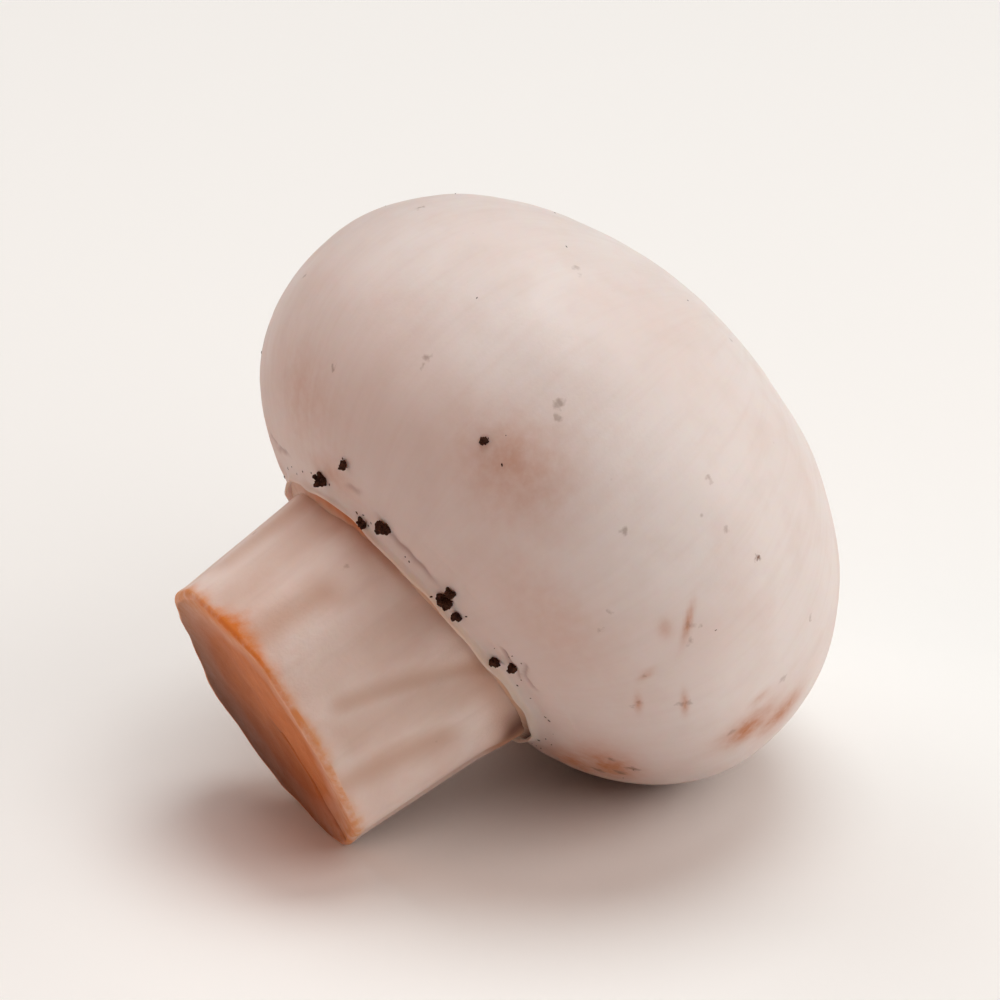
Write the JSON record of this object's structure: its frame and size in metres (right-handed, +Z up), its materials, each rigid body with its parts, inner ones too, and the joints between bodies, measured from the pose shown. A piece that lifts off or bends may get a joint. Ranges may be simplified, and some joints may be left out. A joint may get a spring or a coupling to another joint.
{
  "type": "button mushroom",
  "caption": "Closed-cup white button mushroom, trimmed short at the stem, lying on its cap flank and cut stem edge, with a veil collar and peat crumbs.",
  "frame": {"origin": "middle of the bounding box's footprint, on the surface that the mushroom rests on", "axes": "+X level, from the cut stem end toward the crown; +Z up from the surface; +Y completes a right-handed frame"},
  "size_m": [0.0466, 0.0458, 0.0432],
  "materials": {
    "cap_flesh": "satin",
    "stem_flesh": "matte",
    "veil_membrane": "satin",
    "peat_soil": "matte"
  },
  "bodies": {
    "root": {"cap": "cap_flesh", "stem": "stem_flesh", "veil": "veil_membrane", "soil_crumb_01": "peat_soil", "soil_crumb_02": "peat_soil", "soil_crumb_03": "peat_soil", "soil_crumb_04": "peat_soil", "soil_crumb_05": "peat_soil", "soil_crumb_06": "peat_soil", "soil_crumb_07": "peat_soil", "soil_crumb_08": "peat_soil", "soil_crumb_09": "peat_soil", "soil_crumb_10": "peat_soil"}
  },
  "joints": []
}
